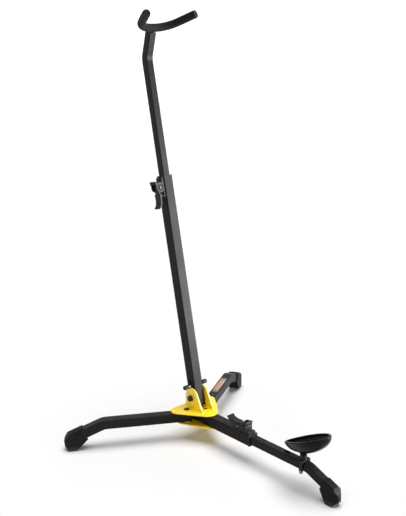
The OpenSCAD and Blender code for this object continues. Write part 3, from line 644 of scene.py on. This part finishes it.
def fluted(k):
    """Share of a knob's radius at the kth point around it."""
    return 1.0 - FLUTE_DEPTH * (0.5 + 0.5 * math.cos(2 * math.pi * k / FLUTE_SIDES)) ** 2


def lock_knobs():
    """Fluted knobs on the lock pin's ends."""
    low, high = (Vector(corner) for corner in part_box("lock_knobs"))
    centre = (low + high) / 2
    knobs = []
    for way, edge in ((-1, -low.y), (1, high.y)):
        start = Vector((centre.x, way * (edge - KNOB_LEN), centre.z))
        frame_of = placed(start, post_front, -way * post_axis)
        knobs.append(turned_solid(frame_of, KNOB_PROFILE, KNOB_SIDES, fluted))
    made = piece("lock_knob_grips", joined(knobs), "lock", slot_of["lock_knobs"])
    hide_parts("lock_knobs")


# ---- label ----
def leg_label():
    """Strip stuck on the right leg's upper face, with rounded corners."""
    frame_of = placed(label_middle, right_axis, UP.cross(right_axis))
    outline = []
    for sx, sy, first in ((1, 1, 0), (-1, 1, 90), (-1, -1, 180), (1, -1, 270)):
        for step in range(5):
            a = math.radians(first + 22.5 * step)
            outline.append((sx * (LABEL_HALF_LEN - LABEL_CORNER) + LABEL_CORNER * math.cos(a),
                            sy * (LABEL_HALF_WIDTH - LABEL_CORNER) + LABEL_CORNER * math.sin(a)))
    # share of the outline, and height above the leg in mm
    layers = ((1, -0.1), (1, 0.08), (0.995, 0.12))
    rings = [[frame_of @ Vector((x * share, y * share, z * MM)) for x, y in outline] for share, z in layers]
    piece("right_leg_label", loft(rings), "right_leg", "tube_black", "label")


# ---- stage ----
ROOM_R = 9.0
ROOM_SIDES = 96
WALL_TOP = 4.0
FLOOR_GAP = 0.3 * MM


def floor():
    """Pale matt floor just under the stand's soles."""
    mesh = bpy.data.meshes.new("floor")
    rim = [(ROOM_R * x, ROOM_R * y, 0) for x, y in circle_points(ROOM_SIDES)]
    mesh.from_pydata(rim, [], [tuple(range(ROOM_SIDES))])
    p = Paint("floor", Roughness=0.9, Specular_IOR_Level=0.0)
    p.set("Base Color", p.mix(p.noise(3, 2), (0.75, 0.745, 0.745, 1), (0.765, 0.76, 0.76, 1)))
    mesh.materials.append(p.material)
    made = linked("floor", mesh)
    made.location.z = -FLOOR_GAP
    return made


def wall():
    """Evenly lit pale wall, far round the stand."""
    mesh = bpy.data.meshes.new("wall")
    points = [(ROOM_R * x, ROOM_R * y, z) for z in (-0.01, WALL_TOP) for x, y in circle_points(ROOM_SIDES)]
    quads = []
    for k in range(ROOM_SIDES):
        after = (k + 1) % ROOM_SIDES
        quads.append((k, after, ROOM_SIDES + after, ROOM_SIDES + k))
    mesh.from_pydata(points, [], quads)
    p = Paint("wall", Emission_Color=(1, 1, 1, 1), Emission_Strength=1.0, Roughness=1.0,
              Specular_IOR_Level=0.0)
    p.set("Base Color", p.mix(p.noise(2, 1), (0.3, 0.3, 0.3, 1), (0.32, 0.32, 0.32, 1)))
    mesh.materials.append(p.material)
    linked("wall", mesh)


def ambient():
    """Faint even light from all round."""
    world = bpy.data.worlds.new("studio")
    world.use_nodes = True
    background = world.node_tree.nodes["Background"]
    background.inputs["Color"].default_value = (1, 1, 1, 1)
    background.inputs["Strength"].default_value = 0.05
    bpy.context.scene.world = world


def overhead():
    """Wide soft light from above, which makes the shadows on the floor."""
    sun = bpy.data.lights.new("overhead", "SUN")
    sun.energy = 3.5
    sun.angle = math.radians(50)
    linked("overhead", sun).rotation_euler = (math.radians(-3), math.radians(2), 0)


def right_softbox(ground):
    """Light from the right. It lights the stand, and leaves the floor to the overhead light."""
    place, aim = Vector((1.9, 1.65, 0.42)), Vector((-0.1, 0, 0.42))
    data = bpy.data.lights.new("right_softbox", "AREA")
    data.shape = "SQUARE"
    data.size = 1.3
    data.energy = 210
    made = linked("right_softbox", data)
    made.location = place
    made.rotation_euler = (aim - place).to_track_quat("-Z", "Y").to_euler()
    unlit = bpy.data.collections.new("not_lit_by_softbox")
    unlit.objects.link(ground)
    unlit.collection_objects[0].light_linking.link_state = "EXCLUDE"
    made.light_linking.receiver_collection = unlit


def camera():
    """Camera at the photograph's view of the stand, aimed at a point above the hub."""
    azimuth, elevation, distance = math.radians(48.07), math.radians(14.21), 1.85
    aim = hub + UP * 0.455
    level = Vector((math.sin(azimuth), -math.cos(azimuth), 0))
    back = level * math.cos(elevation) + UP * math.sin(elevation)
    data = bpy.data.cameras.new("camera")
    data.sensor_width = 36
    data.lens = 59.75
    data.shift_x, data.shift_y = 0.0044, -0.0282
    made = linked("camera", data)
    made.location = aim + back * distance
    made.rotation_mode = "QUATERNION"
    made.rotation_quaternion = (-back).to_track_quat("-Z", "Y")
    bpy.context.scene.camera = made


# ---- the stand ----
for name, node in frame["nodes"].items():
    dress(name, node)
foam_sleeve()
cup()
lever_grip("leg", "leg_lever")
lever_grip("post", "post_lever")
clamp_mouldings("leg", "base")
clamp_mouldings("post", "post")
lock_knobs()
leg_label()

# ---- the studio ----
wall()
ambient()
overhead()
right_softbox(floor())
camera()
bpy.context.scene.view_settings.view_transform = "Standard"
